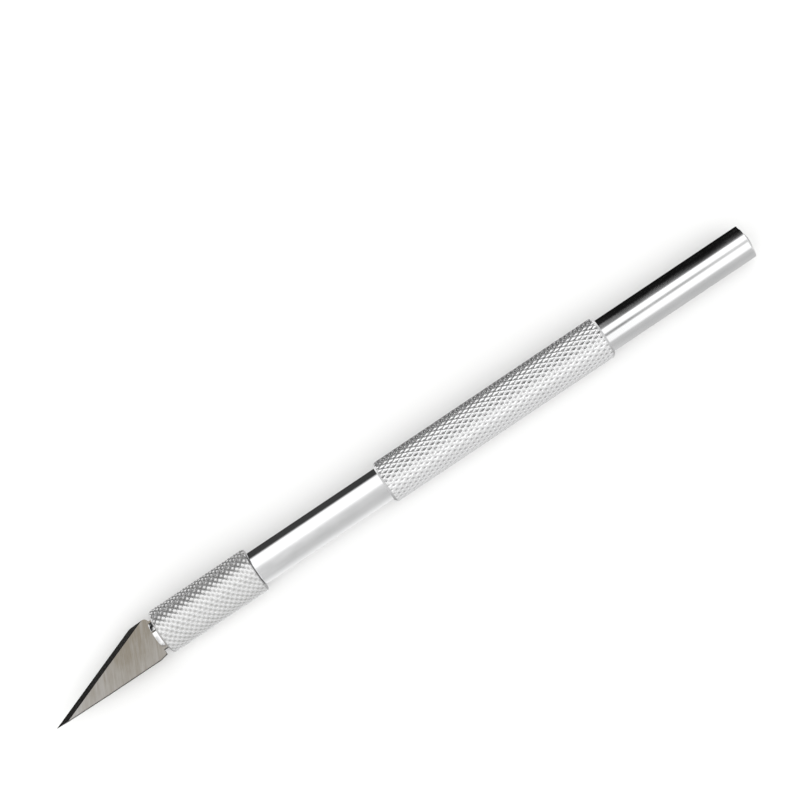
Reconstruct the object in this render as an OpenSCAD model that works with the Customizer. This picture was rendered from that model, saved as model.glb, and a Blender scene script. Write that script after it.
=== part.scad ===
// Hobby craft knife: a slim tubular metal handle with a knurled grip sleeve, a knurled
// draw-in collar, a four-jaw collet and a pointed, straight-edged blade.
//
// X runs along the axis, from the blade's tip (-X) to the domed rear end (+X). The blade
// lies flat in the XY plane, with its cutting edge towards +Y and its spine towards -Y.
// The origin is on the axis, halfway along the knife. Stations named ..._x are measured
// from the blade's tip, and from_tip() moves them to the origin.
//
// The collet screws into the handle and is keyed to the collar, so turning the collar draws
// it in. Its cone then closes in the collar's mouth and pinches the blade's tang.

/* [Overall] */
// Length from the blade's tip to the domed rear end
overall_l = 146; // [136:1:160]
// How far the blade stands out in front of the collet
blade_reach = 22.85; // [22.7:0.05:23.1]

/* [Blade] */
// Length of the blade, tang included
blade_l = 40; // [39:0.5:40.5]
// Thickness of the blade
blade_t = 0.5; // [0.4:0.05:0.6]
// Angle between the cutting edge and the axis
edge_angle = 21.9; // [20.5:0.1:22.5]
// Width of the ground bevel along the cutting edge
bevel_w = 1; // [0.5:0.05:1.2]
// Width of the tang
tang_w = 5.9; // [5:0.1:5.9]
// Depth of the spine below the axis, the widest the blade gets on that side
spine_drop = 4.2; // [4:0.1:4.2]
// Height of the heel above the axis on the cutting side
heel_rise = 3.8; // [3.7:0.1:4]

/* [Collet] */
// Diameter of the nose ring that shows in front of the collar
nose_d = 5.1; // [4.8:0.1:5.4]
// How far the nose ring stands out of the collar
nose_l = 1; // [0.6:0.05:1]
// Diameter of the closing cone at its front
cone_d = 6.6; // [6.5:0.1:6.7]
// Length of the closing cone
cone_l = 1.5; // [1:0.1:2]
// Diameter of the spring fingers behind the cone
finger_d = 5.4; // [5:0.1:5.4]
// Width of the cross slit that parts the jaws from side to side
cross_slit_w = 0.3; // [0.2:0.05:0.6]
// Diameter of the threaded tail
tail_d = 4; // [3.5:0.1:4]
// Length of the threaded tail
tail_l = 12.4; // [10:0.1:13]

/* [Collar] */
// Diameter of the collar over its knurl
collar_d = 8.4; // [8.4:0.1:9]
// Length of the collar
collar_l = 19.8; // [19.5:0.1:20]
// Radius of the collar's rounded front edge
collar_round = 0.8; // [0.3:0.1:0.8]

/* [Handle] */
// Outside diameter of the polished handle tube
barrel_d = 6.3; // [6:0.1:6.4]
// Bore of the handle tube
tube_bore_d = 5.2; // [5:0.1:5.4]
// Diameter of the grip sleeve over its knurl
grip_d = 7.9; // [7.9:0.05:8.4]
// Length of the grip sleeve
grip_l = 45.7; // [40:0.1:50]
// Plain length of handle between the collar and the grip
grip_gap = 26.55; // [20:0.05:28]

/* [Hidden] */
$fn = 96;

// Clearances: a close fit inside one piece's seat, a turning or sliding fit, and the thread
seat_gap = 0.01;
slide_gap = 0.05;
thread_gap = 0.03;

// The blade's outline
tip_drop = 4.05;
knee_r = 2;
heel_x = 22.2;
spine_step_x = 21.6;
shoulder_x = 23;
shoulder_drop = 3.9;
spine_bend_x = 11;
tang_corner = 0.6;
slot_w = 1.3;
slot_start_x = 29;
slot_l = 8;

// Stations along the knife
nose_x = blade_reach;
collar_x = nose_x + nose_l;
collar_end_x = collar_x + collar_l;
handle_x = collar_end_x + slide_gap;
grip_x = handle_x + grip_gap;
dome_h = 0.5;
grip_end_x = grip_x + grip_l;
handle_end_x = overall_l - dome_h;

// The collet, from its cone back to its keyed root
cone_drop = 0.2;
nose_chamfer = 0.25;
finger_x = collar_x + cone_l + 0.4;
web_t = 1;
root_t = 1.7;
root_d = 6.1;
root_flat = 5.5;
web_x = collar_end_x - web_t;
root_end_x = web_x - 0.1;
root_x = root_end_x - root_t;
slit_w = blade_t + 2 * seat_gap;

// The collar's inside, from its mouth back to its web
land_l = 1;
relief_x = collar_x + cone_l + land_l;
relief_d = cone_d;
key_x = root_x - 2.6;
key_d = root_d + 2 * slide_gap;
key_flat = root_flat + 2 * slide_gap;
web_bore_d = tail_d + 4 * slide_gap;
mouth_gap = 0.02;

// The handle's small parts and edges
land_rise = 0.2;
insert_l = 12;
plug_l = 8;
dome_d = tube_bore_d - 0.4;
grip_chamfer = 0.5;
rim_chamfer = 0.3;
edge_chamfer = 0.2;

steel = [0.62, 0.59, 0.56];
polished = [0.86, 0.87, 0.88];
knurled = [0.74, 0.75, 0.76];
brass = [0.80, 0.66, 0.36];

// Moves what is measured from the blade's tip to the knife's origin
module from_tip() {
    translate([-overall_l / 2, 0, 0]) children();
}

// Turned solid: the profile's points are [radius, station]
module turned(profile) {
    from_tip() rotate([0, 90, 0]) rotate_extrude() polygon(profile);
}

// Points of an arc, from angle a to angle b
function arc(x, y, r, a, b, steps) =
    [for (i = [0:steps]) [x + r * cos(a + (b - a) * i / steps),
                          y + r * sin(a + (b - a) * i / steps)]];

// The blade's outline: tip, cutting edge, knee, heel, tang and spine
module blade_outline() {
    corner_x = (heel_rise + tip_drop) / tan(edge_angle);
    knee_x = corner_x + knee_r * tan(edge_angle / 2);
    heel_r = heel_rise - tang_w / 2;
    half = tang_w / 2;
    polygon(concat(
        [[0, -tip_drop]],
        arc(knee_x, heel_rise - knee_r, knee_r, 90 + edge_angle, 90, 8),
        arc(heel_x, half, heel_r, 90, 0, 8),
        [[blade_l - tang_corner, half], [blade_l, half - tang_corner],
         [blade_l, tang_corner - half], [blade_l - tang_corner, -half]],
        [[shoulder_x, -half], [shoulder_x, -shoulder_drop], [spine_step_x, -spine_drop],
         [spine_bend_x, -spine_drop]]));
}

// Cuts away what lies above the bevel on the blade's upper side
module bevel_cut() {
    bevel_angle = atan(blade_t / 2 / bevel_w);
    margin = 2;
    translate([0, -tip_drop, 0]) rotate([0, 0, edge_angle]) rotate([-bevel_angle, 0, 0])
        translate([-margin, -margin, 0]) cube([blade_l, 2 * margin, margin]);
}

module blade() {
    color(steel) from_tip() difference() {
        translate([0, 0, -blade_t / 2]) linear_extrude(blade_t) blade_outline();
        bevel_cut();
        mirror([0, 0, 1]) bevel_cut();
        translate([slot_start_x, 0, -blade_t]) linear_extrude(2 * blade_t) {
            circle(d = slot_w);
            translate([0, -slot_w / 2]) square([slot_l, slot_w]);
            translate([slot_l, 0]) circle(d = slot_w);
        }
    }
}

// One spring finger with its jaw: the quarter of the collet on the side (side_y, side_z)
module collet_jaw(side_y, side_z) {
    nose_r = nose_d / 2;
    cone_r = cone_d / 2;
    finger_r = finger_d / 2;
    start_y = side_y > 0 ? cross_slit_w / 2 : -cone_d - cross_slit_w / 2;
    start_z = side_z > 0 ? slit_w / 2 : -cone_d - slit_w / 2;
    color(polished) intersection() {
        turned([[0, nose_x], [nose_r - nose_chamfer, nose_x],
                [nose_r, nose_x + nose_chamfer], [nose_r, collar_x], [cone_r, collar_x],
                [cone_r - cone_drop, collar_x + cone_l], [finger_r, finger_x],
                [finger_r, root_x], [0, root_x]]);
        from_tip() translate([nose_x - 1, start_y, start_z])
            cube([root_x - nose_x + 2, cone_d, cone_d]);
    }
}

// The collet's keyed root, with the threaded tail behind it
module collet_stem() {
    tail_end_x = root_end_x + tail_l;
    color(polished) {
        intersection() {
            turned([[0, root_x], [root_d / 2, root_x], [root_d / 2, root_end_x],
                    [0, root_end_x]]);
            from_tip() translate([root_x - 1, -root_d, -root_flat / 2])
                cube([root_t + 2, 2 * root_d, root_flat]);
        }
        turned([[0, root_end_x - root_t / 2], [tail_d / 2, root_end_x - root_t / 2],
                [tail_d / 2, tail_end_x - rim_chamfer],
                [tail_d / 2 - rim_chamfer, tail_end_x], [0, tail_end_x]]);
    }
}

// Collar: conical mouth, clear bore for the fingers, keyed bore, and a web at the rear
module chuck_collar() {
    mouth_r = cone_d / 2 + mouth_gap;
    collar_r = collar_d / 2;
    color(knurled) difference() {
        turned(concat(
            [[mouth_r, collar_x]],
            [for (p = arc(0, 0, collar_round, 270, 360, 6))
                [collar_r - collar_round + p[0], collar_x + collar_round + p[1]]],
            [[collar_r, collar_end_x - rim_chamfer], [collar_r - rim_chamfer, collar_end_x],
             [web_bore_d / 2, collar_end_x], [web_bore_d / 2, key_x],
             [relief_d / 2, key_x], [relief_d / 2, relief_x],
             [mouth_r - cone_drop, relief_x], [mouth_r - cone_drop, collar_x + cone_l]]));
        from_tip() intersection() {
            translate([key_x, 0, 0]) rotate([0, 90, 0]) cylinder(d = key_d, h = web_x - key_x);
            translate([key_x - 1, -key_d, -key_flat / 2])
                cube([collar_l, 2 * key_d, key_flat]);
        }
    }
}

// Polished tube that runs the whole length of the handle, with a raised land for the sleeve
module handle_tube() {
    outer = barrel_d / 2;
    inner = tube_bore_d / 2;
    color(polished) turned([[inner, handle_x], [outer - edge_chamfer, handle_x],
                            [outer, handle_x + edge_chamfer],
                            [outer, grip_x], [outer + land_rise, grip_x],
                            [outer + land_rise, grip_end_x], [outer, grip_end_x],
                            [outer, handle_end_x - edge_chamfer],
                            [outer - edge_chamfer, handle_end_x], [inner, handle_end_x]]);
}

// Threaded bush in the front of the tube; its plain bore stands for the thread
module thread_insert() {
    bore = tail_d / 2 + thread_gap;
    outer = tube_bore_d / 2 - seat_gap;
    color(brass) turned([[bore + edge_chamfer, handle_x], [outer, handle_x],
                         [outer, handle_x + insert_l], [bore, handle_x + insert_l],
                         [bore, handle_x + edge_chamfer]]);
}

// Knurled sleeve pressed on the tube's land, bevelled at both ends
module grip_sleeve() {
    outer = grip_d / 2;
    inner = barrel_d / 2 + land_rise + seat_gap;
    color(knurled) turned([[inner, grip_x], [outer - grip_chamfer, grip_x],
                           [outer, grip_x + grip_chamfer], [outer, grip_end_x - grip_chamfer],
                           [outer - grip_chamfer, grip_end_x], [inner, grip_end_x]]);
}

// Plug pressed in the tube's rear end, with a shallow domed cap
module end_plug() {
    outer = tube_bore_d / 2 - seat_gap;
    dome_r = (pow(dome_d / 2, 2) + pow(dome_h, 2)) / (2 * dome_h);
    dome_angle = asin(dome_d / 2 / dome_r);
    plug_x = handle_end_x - plug_l;
    color(polished) turned(concat(
        [[0, plug_x], [outer - edge_chamfer, plug_x], [outer, plug_x + edge_chamfer],
         [outer, handle_end_x - edge_chamfer]],
        arc(0, overall_l - dome_r, dome_r, 90 - dome_angle, 90, 8)));
}

blade();
collet_stem();
collet_jaw(1, 1);  // collet_jaw_1
collet_jaw(-1, 1);  // collet_jaw_2
collet_jaw(-1, -1);  // collet_jaw_3
collet_jaw(1, -1);  // collet_jaw_4
chuck_collar();
handle_tube();
thread_insert();
grip_sleeve();
end_plug();
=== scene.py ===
"""Looks of the hobby craft knife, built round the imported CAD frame.

The CAD part gives every place and outer size. This script adds finer meshes for the pieces
that show (real diamond knurls, honed bevel, polished barrel), their materials, and a plain
studio. X runs along the knife, from the blade's tip (-X) to the domed rear end (+X).
"""

import math

import bmesh
import bpy
from mathutils import Matrix, Vector


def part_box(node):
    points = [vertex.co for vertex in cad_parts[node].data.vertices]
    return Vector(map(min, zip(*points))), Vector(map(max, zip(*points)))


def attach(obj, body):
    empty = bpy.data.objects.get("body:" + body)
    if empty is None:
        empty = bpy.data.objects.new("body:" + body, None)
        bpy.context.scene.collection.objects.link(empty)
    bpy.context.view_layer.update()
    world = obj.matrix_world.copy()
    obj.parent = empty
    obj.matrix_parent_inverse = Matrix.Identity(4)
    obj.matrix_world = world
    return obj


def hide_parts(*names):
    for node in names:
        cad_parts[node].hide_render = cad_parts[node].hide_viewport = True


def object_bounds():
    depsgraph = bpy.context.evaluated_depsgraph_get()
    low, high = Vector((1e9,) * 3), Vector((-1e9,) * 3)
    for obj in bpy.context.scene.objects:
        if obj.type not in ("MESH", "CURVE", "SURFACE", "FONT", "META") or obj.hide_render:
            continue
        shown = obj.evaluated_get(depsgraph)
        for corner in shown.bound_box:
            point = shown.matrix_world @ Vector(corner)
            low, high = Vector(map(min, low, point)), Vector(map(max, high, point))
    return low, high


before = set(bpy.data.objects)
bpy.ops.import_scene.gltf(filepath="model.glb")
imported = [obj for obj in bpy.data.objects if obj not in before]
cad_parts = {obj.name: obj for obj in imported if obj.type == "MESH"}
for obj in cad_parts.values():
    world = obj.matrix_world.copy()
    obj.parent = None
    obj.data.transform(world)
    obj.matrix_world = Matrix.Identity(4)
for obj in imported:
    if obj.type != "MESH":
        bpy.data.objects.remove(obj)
cad_low, cad_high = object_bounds()

MM = 0.001
TURN = 2 * math.pi
SHARP_ANGLE = math.radians(40)


# ---------------------------------------------------------------- places from the frame

def reach(*nodes):
    """Start and end along X, and the largest radius, of some CAD nodes."""
    boxes = [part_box(node) for node in nodes]
    start = min(low.x for low, high in boxes)
    end = max(high.x for low, high in boxes)
    radius = max(max(high.y, -low.y, high.z, -low.z) for low, high in boxes)
    return start, end, radius


# The side of the axis, in Y and in Z, that each jaw of the collet is on
JAW_SIDES = {1: (1, 1), 2: (-1, 1), 3: (-1, -1), 4: (1, -1)}

collar_start, collar_end, collar_r = reach("chuck_collar")
tube_start, tube_end, land_r = reach("handle_tube")
grip_start, grip_end, grip_r = reach("grip_sleeve")
plug_start, plug_end, plug_r = reach("end_plug")
nose_start, jaw_end, cone_r = reach(*(f"collet_jaw_{number}" for number in JAW_SIDES))
root_start, _, root_r = reach("collet_stem")
insert_r = reach("thread_insert")[2]
blade_low, blade_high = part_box("blade")
blade_start, blade_end = blade_low.x, blade_high.x

# Sizes inside the CAD boxes: the rise of the tube's land under the sleeve, the gap of a
# pressed fit, and the collet's closing cone, which the collar's mouth follows
LAND_RISE = 0.2 * MM
SEAT_GAP = 0.01 * MM
CONE_LENGTH = 1.5 * MM
CONE_DROP = 0.2 * MM
tube_r = land_r - LAND_RISE


# ---------------------------------------------------------------- mesh helpers

def new_piece(name, bm, body, slot, *replaced):
    """Turns a bmesh into a piece that rides on a body and stands for CAD nodes."""
    bmesh.ops.recalc_face_normals(bm, faces=bm.faces)
    mesh = bpy.data.meshes.new(name)
    bm.to_mesh(mesh)
    bm.free()
    piece = bpy.data.objects.new(name, mesh)
    bpy.context.scene.collection.objects.link(piece)
    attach(piece, body)
    if replaced:
        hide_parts(*replaced)
    return piece


def shade(piece):
    """Smooth shading, kept sharp at edges that turn by more than the sharp angle."""
    mesh = piece.data
    mesh.shade_smooth()
    mesh.set_sharp_from_angle(angle=SHARP_ANGLE)


def around(x, radius, columns):
    """One ring of points about the X axis; radius is a number or a function of the angle."""
    ring = []
    for column in range(columns):
        angle = TURN * column / columns
        r = radius(angle) if callable(radius) else radius
        ring.append(Vector((x, r * math.cos(angle), r * math.sin(angle))))
    return ring


def skin_rings(bm, rings):
    """Faces between rings of equal count, and from the last ring back to the first. Quads
    are split along alternate diagonals, so that edges follow both families of a knurl's
    grooves."""
    rows = [[bm.verts.new(point) for point in ring] for ring in rings]
    for row, (near, far) in enumerate(zip(rows, rows[1:] + rows[:1])):
        count = len(near)
        for column in range(count):
            a, b = near[column], near[(column + 1) % count]
            c, d = far[(column + 1) % count], far[column]
            if (row + column) % 2:
                bm.faces.new((a, b, d))
                bm.faces.new((b, c, d))
            else:
                bm.faces.new((a, b, c))
                bm.faces.new((a, c, d))


def lathe(profile, columns, closed):
    """A turned bmesh. profile is [(x, radius)]. A closed one goes back to its start, and
    an open one is capped at both ends."""
    bm = bmesh.new()
    rows = [[bm.verts.new(point) for point in around(x, r, columns)] for x, r in profile]
    pairs = list(zip(rows, rows[1:]))
    if closed:
        pairs.append((rows[-1], rows[0]))
    for near, far in pairs:
        for column in range(columns):
            after = (column + 1) % columns
            bm.faces.new((near[column], near[after], far[after], far[column]))
    if not closed:
        bm.faces.new(rows[0])
        bm.faces.new(rows[-1])
    return bm


def rounded(corner_x, corner_r, into_x, into_r, steps=5):
    """Points of a quarter round at a profile's corner, from the end face to the side.
    into_x and into_r are signed radii that point from the corner into the solid."""
    points = []
    for step in range(steps + 1):
        angle = math.pi / 2 * step / steps
        points.append((corner_x + into_x * (1 - math.cos(angle)),
                       corner_r + into_r * (1 - math.sin(angle))))
    return points


# ---------------------------------------------------------------- knurls

# "pitch" is a knurl pattern's period along X and "starts" the number of its periods round
# the axis. The mesh takes "steps" steps in each period. "depths" are those of the rising
# and the falling grooves, "cut" says how they join, and "wear" is what the crests have
# lost. "shift" along X and "turn" in degrees place the pattern as in the photo.
GRIP_KNURL = {"pitch": 1.714 * MM, "starts": 25, "steps": 12, "cut": min,
              "depths": (0.29 * MM, 0.29 * MM), "wear": 0.03 * MM, "shift": 0.53 * MM,
              "turn": 200}
COLLAR_KNURL = {"pitch": 1.167 * MM, "starts": 21, "steps": 8, "cut": sum,
                "depths": (0.09 * MM, 0.14 * MM), "wear": 0.02 * MM, "shift": 1.08 * MM,
                "turn": 309}
# A face whose normal leans more than this towards X is a turned end or chamfer
TURNED_LEAN = 0.6


def groove(turns):
    """Straight-sided groove that repeats every turn: 0 on its crest, 1 at its bottom."""
    return 1 - 2 * abs(turns - round(turns))


def knurl_drop(x, angle, knurl):
    """How far the knurled surface lies below its crests, which are worn a little flat.
    Two families of grooves cross: their sum leaves grooves, their min only the pits."""
    along = (x - knurl["shift"]) / knurl["pitch"]
    across = (knurl["starts"] * angle + math.radians(knurl["turn"])) / TURN
    rising, falling = knurl["depths"]
    drop = knurl["cut"]((rising * groove(along + across), falling * groove(along - across)))
    return max(drop - knurl["wear"], 0)


def knurled_rings(start, end, limit, crest, knurl):
    """Rings of a diamond knurl, and their number of points. limit(x) is the largest radius
    that the turned ends leave."""
    columns = knurl["starts"] * knurl["steps"]
    rows = round((end - start) / knurl["pitch"] * knurl["steps"])
    rings = []
    for row in range(rows + 1):
        x = start + (end - start) * row / rows
        rings.append(around(x, lambda angle: min(
            limit(x), crest - knurl_drop(x - start, angle, knurl)), columns))
    return rings, columns


def mark_turned(bm):
    """Gives turned end faces and chamfers the second material. Knurl walls lean less."""
    bm.normal_update()
    for face in bm.faces:
        face.material_index = 1 if abs(face.normal.x) > TURNED_LEAN else 0


def make_grip():
    """Knurled sleeve, bevelled at both ends, with its bore."""
    chamfer = 0.5 * MM
    bore = land_r + SEAT_GAP
    inner_edge = grip_r - chamfer

    def limit(x):
        from_end = min(x - grip_start, grip_end - x)
        return min(grip_r, inner_edge + max(from_end, 0))

    rings, columns = knurled_rings(grip_start, grip_end, limit, grip_r, GRIP_KNURL)
    bm = bmesh.new()
    skin_rings(bm, rings + [around(grip_end, bore, columns),
                            around(grip_start, bore, columns)])
    mark_turned(bm)
    return new_piece("grip_knurled_sleeve", bm, "handle", "knurled_metal", "grip_sleeve")


def make_collar():
    """Knurled collar with a rounded front edge, conical mouth, clear bore and keyed bore."""
    front_round = 0.8 * MM
    rear_chamfer = 0.2 * MM
    mouth = cone_r + 0.02 * MM
    throat = mouth - CONE_DROP
    throat_start = collar_start + CONE_LENGTH
    throat_end = throat_start + 1.0 * MM
    key_start = root_start - 2.6 * MM
    key_r = root_r + 0.05 * MM
    key_half = 2.8 * MM
    web_start = collar_end - 1.0 * MM
    web_bore = 2.1 * MM

    def limit(x):
        from_front = x - collar_start
        from_rear = collar_end - x
        radius = collar_r
        if from_front < front_round:
            fall = front_round - from_front
            radius = collar_r - front_round + math.sqrt(max(front_round**2 - fall**2, 0))
        if from_rear < rear_chamfer:
            radius = min(radius, collar_r - rear_chamfer + from_rear)
        return radius

    def keyed(angle):
        sine = abs(math.sin(angle))
        return min(key_r, key_half / sine) if sine else key_r

    rings, columns = knurled_rings(collar_start, collar_end, limit, collar_r, COLLAR_KNURL)
    inside = [(collar_end, web_bore), (web_start, web_bore), (web_start, keyed),
              (key_start, keyed), (key_start, cone_r), (throat_end, cone_r),
              (throat_end, throat), (throat_start, throat), (collar_start, mouth)]
    bm = bmesh.new()
    skin_rings(bm, rings + [around(x, r, columns) for x, r in inside])
    mark_turned(bm)
    return new_piece("collar_knurled", bm, "collar", "knurled_metal", "chuck_collar")


# ---------------------------------------------------------------- turned pieces

def make_tube():
    """Polished handle tube, with softened rims, the sleeve's land and its bore."""
    rim = 0.2 * MM
    bore = insert_r + SEAT_GAP
    hold = 0.05 * MM
    columns = 160
    profile = rounded(tube_start, tube_r, rim, -rim)
    profile += [(tube_start + rim + hold, tube_r), (grip_start, tube_r), (grip_start, land_r),
                (grip_end, land_r), (grip_end, tube_r), (tube_end - rim - hold, tube_r)]
    profile += reversed(rounded(tube_end, tube_r, -rim, -rim))
    profile += [(tube_end, bore), (tube_start, bore)]
    return new_piece("barrel_tube", lathe(profile, columns, True), "handle",
                     "polished_metal", "handle_tube")


def make_plug():
    """Plug with a shallow domed cap, pressed in the tube's rear end."""
    cap_height = plug_end - tube_end
    cap_r = plug_r - 0.19 * MM
    sphere_r = (cap_r**2 + cap_height**2) / (2 * cap_height)
    spread = math.asin(cap_r / sphere_r)
    chamfer = 0.2 * MM
    columns, steps = 96, 17
    profile = [(plug_start, plug_r - chamfer), (plug_start + chamfer, plug_r),
               (tube_end - chamfer, plug_r)]
    for step in range(steps):
        # The last step stops half a step short of the pole, where the cap closes it
        angle = spread * (1 - step / (steps - 0.5))
        profile.append((plug_end - sphere_r + sphere_r * math.cos(angle),
                        sphere_r * math.sin(angle)))
    return new_piece("domed_plug", lathe(profile, columns, False), "handle",
                     "polished_metal", "end_plug")


def make_jaw(number):
    """One spring finger of the collet with its polished nose and closing cone."""
    side_y, side_z = JAW_SIDES[number]
    low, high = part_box(f"collet_jaw_{number}")
    flat_y = min(abs(low.y), abs(high.y))
    flat_z = min(abs(low.z), abs(high.z))
    nose_r, finger_r = 2.55 * MM, 2.7 * MM
    nose_round = 0.25 * MM
    cone_end = collar_start + CONE_LENGTH
    finger_start = cone_end + 0.4 * MM
    profile = rounded(nose_start, nose_r, nose_round, -nose_round)
    profile += [(collar_start, nose_r), (collar_start, cone_r), (cone_end, cone_r - CONE_DROP),
                (finger_start, finger_r), (jaw_end, finger_r)]
    steps = 24
    bm = bmesh.new()
    rows = []
    for x, r in profile:
        first, last = math.asin(flat_z / r), math.acos(flat_y / r)
        row = [bm.verts.new((x, side_y * flat_y, side_z * flat_z))]
        for step in range(steps + 1):
            angle = first + (last - first) * step / steps
            row.append(bm.verts.new((x, side_y * r * math.cos(angle),
                                     side_z * r * math.sin(angle))))
        rows.append(row)
    for near, far in zip(rows, rows[1:]):
        for column in range(len(near)):
            after = (column + 1) % len(near)
            bm.faces.new((near[column], near[after], far[after], far[column]))
    bm.faces.new(rows[0])
    bm.faces.new(rows[-1])
    return new_piece(f"jaw_{number}_finger", bm, f"jaw_{number}", "polished_metal",
                     f"collet_jaw_{number}")


# ---------------------------------------------------------------- blade

# The cutting edge's angle to the knife's axis, the honed bevel's width, and how far the
# corners of the blade's outline are behind its tip
EDGE_ANGLE = math.radians(21.9)
BEVEL_WIDTH = 1.0 * MM
SPINE_BEND = 11 * MM
SPINE_STEP = 21.6 * MM
HEEL = 22.2 * MM
SHOULDER = 23 * MM
# The part along Z of a normal: above the first on the blade's flat faces, below the second
# on its rim, and between the two on its bevels
FLAT_Z = 0.999
RIM_Z = 0.5


def arc(x, y, r, first, last, steps):
    """Points of an arc between two angles in degrees."""
    points = []
    for step in range(steps + 1):
        angle = math.radians(first + (last - first) * step / steps)
        points.append((x + r * math.cos(angle), y + r * math.sin(angle)))
    return points


def blade_outline(tip_y):
    """Outline of the blade, from the tip along the cutting edge, and back on the spine."""
    heel, spine = blade_high.y, blade_low.y
    half = 2.95 * MM
    knee_r = 2 * MM
    corner = 0.6 * MM
    shoulder = -3.9 * MM
    knee_x = (blade_start + (heel - tip_y) / math.tan(EDGE_ANGLE)
              + knee_r * math.tan(EDGE_ANGLE / 2))
    points = [(blade_start, tip_y)]
    points += arc(knee_x, heel - knee_r, knee_r, 90 + math.degrees(EDGE_ANGLE), 90, 12)
    points += arc(blade_start + HEEL, half, heel - half, 90, 0, 8)
    points += arc(blade_end - corner, half - corner, corner, 90, 0, 3)
    points += arc(blade_end - corner, corner - half, corner, 0, -90, 3)
    points += [(blade_start + SHOULDER, -half), (blade_start + SHOULDER, shoulder),
               (blade_start + SPINE_STEP, spine), (blade_start + SPINE_BEND, spine)]
    return points


def make_blade():
    """Pointed blade with a slot in its tang and a honed bevel on both faces."""
    tip_y = -4.05 * MM
    half_t = blade_high.z
    slot_r = 0.65 * MM
    slot_start, slot_end = blade_start + 29 * MM, blade_start + 37 * MM
    on_plane, same_place = 1e-8, 1e-7
    same_lean = math.radians(0.5)
    slot = arc(slot_start, 0, slot_r, 90, 270, 10) + arc(slot_end, 0, slot_r, -90, 90, 10)
    bm = bmesh.new()
    for loop in (blade_outline(tip_y), slot):
        verts = [bm.verts.new((x, y, -half_t)) for x, y in loop]
        for near, far in zip(verts, verts[1:] + verts[:1]):
            bm.edges.new((near, far))
    filled = bmesh.ops.triangle_fill(bm, use_beauty=True, edges=bm.edges)["geom"]
    flat = [part for part in filled if isinstance(part, bmesh.types.BMFace)]
    lifted = bmesh.ops.extrude_face_region(bm, geom=flat, use_keep_orig=True)["geom"]
    top = [part for part in lifted if isinstance(part, bmesh.types.BMVert)]
    bmesh.ops.translate(bm, verts=top, vec=(0, 0, 2 * half_t))
    bevel = math.atan(half_t / BEVEL_WIDTH)
    inward = Vector((math.sin(EDGE_ANGLE), -math.cos(EDGE_ANGLE), 0))
    for side in (1, -1):
        outward = (Vector((0, 0, side)) * math.cos(bevel) - inward * math.sin(bevel))
        cut = bmesh.ops.bisect_plane(
            bm, geom=bm.verts[:] + bm.edges[:] + bm.faces[:], dist=on_plane,
            plane_co=(blade_start, tip_y, 0), plane_no=outward, clear_outer=True)
        rim = [part for part in cut["geom_cut"] if isinstance(part, bmesh.types.BMEdge)]
        bmesh.ops.triangle_fill(bm, use_beauty=True, edges=rim)
    bmesh.ops.remove_doubles(bm, verts=bm.verts, dist=same_place)
    bmesh.ops.dissolve_limit(bm, angle_limit=same_lean, verts=bm.verts, edges=bm.edges)
    bmesh.ops.triangulate(bm, faces=[f for f in bm.faces if len(f.verts) > 4])
    bmesh.ops.recalc_face_normals(bm, faces=bm.faces)
    for face in bm.faces:
        up = abs(face.normal.z)
        face.material_index = 2 if up < RIM_Z else 1 if up < FLAT_Z else 0
    return new_piece("pointed_blade", bm, "blade", "blade_steel", "blade")


# ---------------------------------------------------------------- materials

def new_material(name):
    """A new node material, a function that adds nodes to it, and its object coordinates."""
    material = bpy.data.materials.new(name)
    material.use_nodes = True
    tree = material.node_tree

    def add(kind, links=(), **values):
        node = tree.nodes.new(kind)
        for key, value in values.items():
            if hasattr(node, key):
                setattr(node, key, value)
            else:
                node.inputs[key.replace("_", " ")].default_value = value
        for socket, source in dict(links).items():
            tree.links.new(source, node.inputs[socket])
        return node

    return material, add, add("ShaderNodeTexCoord").outputs["Object"]


def finish_metal(material, add, colour, rough, height, bump, metallic=1.0):
    """Wires a metal's colour, its roughness and its bumps into its shader. bump is their
    strength and their height in millimetres."""
    strength, distance = bump
    bumps = add("ShaderNodeBump", {"Height": height}, Strength=strength, Distance=distance * MM)
    shader = material.node_tree.nodes["Principled BSDF"]
    for socket, source in (("Base Color", colour), ("Roughness", rough),
                           ("Normal", bumps.outputs["Normal"])):
        material.node_tree.links.new(source, shader.inputs[socket])
    shader.inputs["Metallic"].default_value = metallic
    return material


def stretched_noise(add, coords, scale, detail=4.0, roughness=0.6):
    """Noise with its own scale, in cycles per millimetre, along each axis."""
    mapping = add("ShaderNodeMapping", {"Vector": coords},
                  Scale=[s / MM for s in scale])
    return add("ShaderNodeTexNoise", {"Vector": mapping.outputs["Vector"]}, Scale=1.0,
               Detail=detail, Roughness=roughness).outputs["Fac"]


def ranged(add, value, low, high, to_low, to_high):
    """value, moved from one range to another and clamped."""
    return add("ShaderNodeMapRange", {"Value": value}, From_Min=low, From_Max=high,
               To_Min=to_low, To_Max=to_high).outputs["Result"]


def set_stops(node, stops):
    """Gives a colour ramp its stops, [(position, (r, g, b))], and returns its colour."""
    elements = node.color_ramp.elements
    while len(elements) < len(stops):
        elements.new(0.5)
    for element, (position, colour) in zip(elements, stops):
        element.position = position
        element.color = (*colour, 1)
    return node.outputs["Color"]


def ramp(add, value, stops):
    """A value, turned into colours by a colour ramp."""
    return set_stops(add("ShaderNodeValToRGB", {"Fac": value}), stops)


def combined(add, first, second, amount):
    """first + amount * second."""
    node = add("ShaderNodeMath", {0: second, 2: first}, operation="MULTIPLY_ADD")
    node.inputs[1].default_value = amount
    return node.outputs["Value"]


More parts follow.
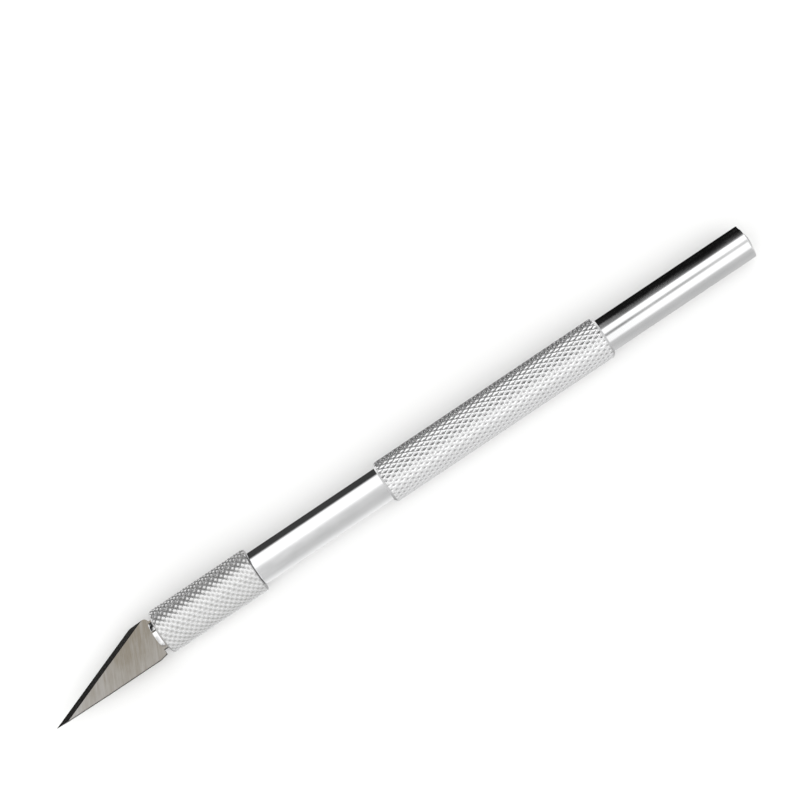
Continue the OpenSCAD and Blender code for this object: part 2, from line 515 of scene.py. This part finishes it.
def turned_metal(name, dull, bright, rough):
    """Turned aluminium: faint turning lines, soft smudges and a few fine scratches."""
    material, add, coords = new_material(name)
    turning = stretched_noise(add, coords, (9, 0.12, 0.12), 3.0)
    smudge = stretched_noise(add, coords, (0.12, 0.35, 0.35), 5.0)
    scratch = stretched_noise(add, coords, (0.5, 14, 14), 2.0)
    colour = ramp(add, smudge, [(0.25, dull), (0.7, bright)])
    uneven = combined(add, ranged(add, smudge, 0.3, 0.75, *rough), turning, 0.03)
    height = combined(add, turning, scratch, 0.25)
    return finish_metal(material, add, colour, uneven, height, (0.05, 0.01))


def knurled_metal(name, root, crest, pit_shade_colour, crest_colour, rough, metallic):
    """Satin aluminium: colour darkens into the knurl's pits as painted shade, over patchy
    grime, and the crests that handling has worn stay bright.
    """
    material, add, coords = new_material(name)
    place = add("ShaderNodeSeparateXYZ", {"Vector": coords}).outputs
    flat = add("ShaderNodeCombineXYZ", {"Y": place["Y"], "Z": place["Z"]})
    radius = add("ShaderNodeVectorMath", {0: flat.outputs["Vector"]}, operation="LENGTH")
    grime = stretched_noise(add, coords, (0.5, 0.5, 0.5), 6.0)
    grain = stretched_noise(add, coords, (7, 7, 7), 4.0)
    height = ranged(add, radius.outputs["Value"], root, crest, 0.0, 1.0)
    pit_shade_and_grime = combined(add, height, grime, 0.35)
    # Painted shade: the colour runs from dark at the bottom of the pits to bright on the
    # crests, mixed with real grime
    colour = ramp(add, pit_shade_and_grime, [(0.12, pit_shade_colour), (0.75, crest_colour)])
    uneven = combined(add, ranged(add, pit_shade_and_grime, 0.2, 1.2, *rough), grain, 0.04)
    return finish_metal(material, add, colour, uneven, grain, (0.12, 0.01), metallic)


def blade_face():
    """Ground carbon steel: grinding lines across the blade, under a light oxide haze, with a
    painted sheen that lightens it towards the tip and the spine."""
    material, add, coords = new_material("blade_face_steel")
    turned = add("ShaderNodeMapping", {"Vector": coords},
                 Rotation=(0, 0, math.radians(22))).outputs["Vector"]
    lines = stretched_noise(add, turned, (11, 0.22, 1), 5.0)
    broad = stretched_noise(add, turned, (1.3, 0.12, 1), 3.0)
    haze = stretched_noise(add, coords, (0.22, 0.22, 0.22), 4.0)
    place = add("ShaderNodeSeparateXYZ", {0: coords}).outputs
    # Painted sheen: the colour lightens towards the tip and towards the spine
    tip_sheen = ranged(add, place["X"], blade_start, blade_start + 14 * MM, 1.0, 0.0)
    spine_sheen = ranged(add, place["Y"], blade_low.y, blade_high.y, 1.0, 0.0)
    mixed = combined(add, combined(add, lines, broad, 0.8), haze, 0.6)
    mixed = combined(add, combined(add, mixed, tip_sheen, 0.5), spine_sheen, 0.25)
    colour = ramp(add, ranged(add, mixed, 1.12, 1.85, 0.0, 1.0),
                  [(0.0, (0.28, 0.25, 0.205)), (1.0, (0.53, 0.515, 0.495))])
    rough = ranged(add, mixed, 1.0, 1.8, 0.30, 0.46)
    return finish_metal(material, add, colour, rough, lines, (0.25, 0.01))


def blade_bevel():
    """Honed bevel: brighter steel with fine stone lines across the edge."""
    material, add, coords = new_material("blade_bevel_steel")
    turned = add("ShaderNodeMapping", {"Vector": coords},
                 Rotation=(0, 0, -EDGE_ANGLE)).outputs["Vector"]
    lines = stretched_noise(add, turned, (16, 0.5, 1), 4.0)
    colour = ramp(add, lines, [(0.3, (0.40, 0.38, 0.36)), (0.7, (0.52, 0.50, 0.48))])
    rough = ranged(add, lines, 0.3, 0.7, 0.10, 0.20)
    return finish_metal(material, add, colour, rough, lines, (0.12, 0.005))


def blade_rim():
    """Sheared edge of the blade's spine, heel and tang: rough, scaly steel, with its colour
    painted near-black as shade and dark reflection along the rim.
    """
    material, add, coords = new_material("blade_rim_steel")
    scale = stretched_noise(add, coords, (0.9, 3, 6), 5.0)
    # Painted shade: the rim's colour is near-black, darker than the sheared steel itself
    colour = ramp(add, scale, [(0.38, (0.012, 0.011, 0.01)), (0.62, (0.16, 0.15, 0.14))])
    rough = ranged(add, scale, 0.3, 0.7, 0.55, 0.35)
    return finish_metal(material, add, colour, rough, scale, (0.4, 0.01))


def machined_brass():
    """Brass of the thread insert: machining lines and a little tarnish."""
    material, add, coords = new_material("insert_brass")
    turning = stretched_noise(add, coords, (12, 0.2, 0.2), 3.0)
    tarnish = stretched_noise(add, coords, (0.8, 0.8, 0.8), 5.0)
    colour = ramp(add, tarnish, [(0.3, (0.52, 0.38, 0.15)), (0.7, (0.82, 0.66, 0.34))])
    rough = ranged(add, tarnish, 0.3, 0.7, 0.38, 0.2)
    return finish_metal(material, add, colour, rough, turning, (0.2, 0.01))


def paint(piece, *materials):
    """Gives a piece its materials. Faces keep their material numbers."""
    if piece.data.materials:
        piece.data.materials.clear()
    for material in materials:
        piece.data.materials.append(material)


def dress(piece, *materials):
    """Paints a turned piece and shades it smooth."""
    paint(piece, *materials)
    shade(piece)


# ---------------------------------------------------------------- the knife

# Depths below the crests at which each knurl's painted pit shade is darkest
GRIP_PIT = 0.26 * MM
COLLAR_PIT = 0.19 * MM

POLISHED = turned_metal("polished_metal", (0.84, 0.845, 0.85), (0.93, 0.93, 0.935),
                        (0.07, 0.15))
TURNED = turned_metal("turned_metal", (0.68, 0.68, 0.685), (0.77, 0.77, 0.775), (0.25, 0.36))
BRASS = machined_brass()
# The first colour of each knurl is the painted shade of its pits
GRIP = knurled_metal("grip_metal", grip_r - GRIP_PIT, grip_r, (0.25, 0.25, 0.25),
                     (0.92, 0.92, 0.925), (0.10, 0.25), 0.9)
COLLAR = knurled_metal("collar_metal", collar_r - COLLAR_PIT, collar_r,
                       (0.40, 0.40, 0.39), (0.80, 0.80, 0.80), (0.30, 0.22), 0.75)

dress(make_grip(), GRIP, TURNED)
dress(make_collar(), COLLAR, TURNED)
dress(make_tube(), POLISHED)
dress(make_plug(), POLISHED)
for jaw_number in JAW_SIDES:
    dress(make_jaw(jaw_number), POLISHED)
paint(make_blade(), blade_face(), blade_bevel(), blade_rim())

# The collet's root with its tail, and the insert, are hidden and stay as the CAD has them
paint(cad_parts["collet_stem"], POLISHED)
paint(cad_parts["thread_insert"], BRASS)


# ---------------------------------------------------------------- studio

def make_floor():
    """Pale floor under the knife. Reflections see the studio's own lower half instead."""
    half = 6.0
    mesh = bpy.data.meshes.new("floor")
    z = cad_low.z
    mesh.from_pydata([(-half, -half, z), (half, -half, z), (half, half, z), (-half, half, z)],
                     [], [(0, 1, 2, 3)])
    floor = bpy.data.objects.new("floor", mesh)
    bpy.context.scene.collection.objects.link(floor)
    floor.visible_glossy = False
    material = bpy.data.materials.new("floor_card")
    material.use_nodes = True
    shader = material.node_tree.nodes["Principled BSDF"]
    shader.inputs["Base Color"].default_value = (0.9, 0.9, 0.895, 1)
    shader.inputs["Roughness"].default_value = 0.9
    shader.inputs["Specular IOR Level"].default_value = 0.1
    mesh.materials.append(material)


# Brightness of the studio against the angle about X, in degrees: 0 is the +Y horizon, 90
# the zenith and 180 the -Y horizon. The lower half, past 180 and below 0, stands in for the
# floor in reflections. The collet's nose mirrors NOSE, the front of the handle FRONT and its
# rear REAR. Directions that lean more along X show SIDE, and those along the axis END.
# FLOOR_LIGHT is what falls on the floor and on other dull surfaces.
NOSE_STUDIO = [(-90, 0.8), (-62, 0.8), (-48, 0.045), (30, 0.05), (42, 1.2), (180, 1.2),
               (196, 0.8), (270, 0.8)]
FRONT_STUDIO = [(-90, 0.95), (-62, 0.9), (-48, 0.045), (26, 0.05), (40, 1.2), (98, 1.2),
                (114, 0.8), (126, 0.68), (166, 0.57), (196, 0.62), (222, 0.8), (250, 0.95),
                (270, 0.95)]
REAR_STUDIO = [(-90, 0.57), (-62, 0.57), (-48, 0.004), (20, 0.004), (40, 0.012), (54, 0.06),
               (64, 0.2), (70, 1.2), (158, 1.2), (172, 0.62), (197, 0.53), (239, 0.57),
               (270, 0.57)]
SIDE_STUDIO = [(-90, 0.5), (-60, 0.4), (-42, 1.2), (2, 1.2), (10, 0.02), (56, 0.02),
               (64, 1.2), (108, 1.2), (122, 0.68), (160, 0.64), (180, 0.85), (200, 0.7),
               (270, 0.5)]
END_STUDIO = [(-90, 0.7), (0, 0.8), (90, 1.0), (180, 0.9), (270, 0.7)]
FLOOR_LIGHT = [(0, 1.1), (30, 0.93), (55, 0.68), (72, 0.63), (90, 1.11), (110, 1.75),
               (130, 2.3), (180, 2.16)]
# A dark card low in front of the knife, and a narrow gap in the lights over its rear half
CARD = [(-90, 0.04), (50, 0.04), (60, 1.0), (270, 1.0)]
GAP = [(98, 1.0), (108, 0.05), (116, 0.05), (125, 1.0)]
# A direction's part along X where each of them begins, and where it is complete. SIDE and
# END take it without its sign.
NOSE_REACH = (-0.1, -0.12)
CARD_REACH = (-0.16, -0.2)
REAR_REACH = (0.0, 0.09)
SIDE_REACH = (0.18, 0.26)
END_REACH = (0.7, 0.85)
# The gap comes with REAR, and over its fade it goes from the first depth to the second
GAP_FADE = (0.09, 0.16)
GAP_DEPTHS = (0.84, 0.3)


def make_world():
    """Soft studio: bright overhead and towards -Y, dark low down on the +Y side. Behind
    the knife the camera sees plain white."""
    world = bpy.data.worlds.new("studio")
    bpy.context.scene.world = world
    world.use_nodes = True
    tree = world.node_tree
    tree.nodes.clear()

    def add(kind, *sources, **values):
        node = tree.nodes.new(kind)
        for key, value in values.items():
            setattr(node, key, value)
        for socket, source in zip(node.inputs, sources):
            if isinstance(source, (int, float)):
                socket.default_value = source
            else:
                tree.links.new(source, socket)
        return node.outputs

    def bands(levels):
        node = tree.nodes.new("ShaderNodeValToRGB")
        tree.links.new(place, node.inputs["Fac"])
        return set_stops(node, [((degrees + 90) / 360, (level, level, level))
                                for degrees, level in levels])

    def mixed(amount, first, second, kind="MIX"):
        node = tree.nodes.new("ShaderNodeMix")
        node.data_type = "RGBA"
        node.blend_type = kind
        for socket, source in zip((node.inputs[0], node.inputs[6], node.inputs[7]),
                                  (amount, first, second)):
            tree.links.new(source, socket)
        return node.outputs[2]

    direction = add("ShaderNodeTexCoord")["Generated"]
    x, y, z = add("ShaderNodeSeparateXYZ", direction)
    angle = add("ShaderNodeMath", y, z, operation="ARCTAN2")[0]
    place = add("ShaderNodeMath", angle, -1 / TURN, 0.5, operation="MULTIPLY_ADD")[0]
    sideways = add("ShaderNodeMath", x, operation="ABSOLUTE")[0]
    nose = add("ShaderNodeMapRange", x, *NOSE_REACH)[0]
    card = add("ShaderNodeMapRange", x, *CARD_REACH)[0]
    rear = add("ShaderNodeMapRange", x, *REAR_REACH)[0]
    side = add("ShaderNodeMapRange", sideways, *SIDE_REACH)[0]
    end = add("ShaderNodeMapRange", sideways, *END_REACH)[0]
    gap_depth = add("ShaderNodeMapRange", x, *GAP_FADE, *GAP_DEPTHS)[0]
    gap = add("ShaderNodeMath", rear, gap_depth, operation="MULTIPLY")[0]
    mirrored = mixed(nose, bands(FRONT_STUDIO), bands(NOSE_STUDIO))
    mirrored = mixed(rear, mirrored, bands(REAR_STUDIO))
    mirrored = mixed(card, mirrored, bands(CARD), "MULTIPLY")
    mirrored = mixed(side, mirrored, bands(SIDE_STUDIO))
    mirrored = mixed(end, mirrored, bands(END_STUDIO))
    mirrored = mixed(gap, mirrored, bands(GAP), "MULTIPLY")
    path = add("ShaderNodeLightPath")
    seen = mixed(path["Is Diffuse Ray"], mirrored, bands(FLOOR_LIGHT))
    studio = add("ShaderNodeBackground", seen)[0]
    backdrop = tree.nodes.new("ShaderNodeBackground")
    backdrop.inputs["Color"].default_value = (1, 1, 1, 1)
    shown = add("ShaderNodeMixShader", path["Is Camera Ray"], studio,
                backdrop.outputs["Background"])[0]
    add("ShaderNodeOutputWorld", shown)


def make_camera():
    """Long lens above the knife, leaning towards -Y, with the knife's axis rising."""
    field, distance = 136.9 * MM, 450 * MM
    elevation, slope = math.radians(68), math.radians(33.8)
    rise, shift = 13.5 * MM, 0.1 * MM
    back = Vector((0, -math.cos(elevation), math.sin(elevation)))
    along = Vector((1, 0, 0))
    across = back.cross(along)
    right = along * math.cos(slope) - across * math.sin(slope)
    up = along * math.sin(slope) + across * math.cos(slope)
    aim = (cad_low + cad_high) / 2 + up * rise - right * shift
    data = bpy.data.cameras.new("camera")
    data.sensor_width = 36
    data.lens = data.sensor_width * distance / field
    data.clip_start = 10 * MM
    camera = bpy.data.objects.new("camera", data)
    bpy.context.scene.collection.objects.link(camera)
    turned = Matrix((right, up, back)).transposed().to_4x4()
    camera.matrix_world = Matrix.Translation(aim + back * distance) @ turned
    bpy.context.scene.camera = camera


make_camera()
make_floor()
make_world()
bpy.context.scene.view_settings.view_transform = "Standard"
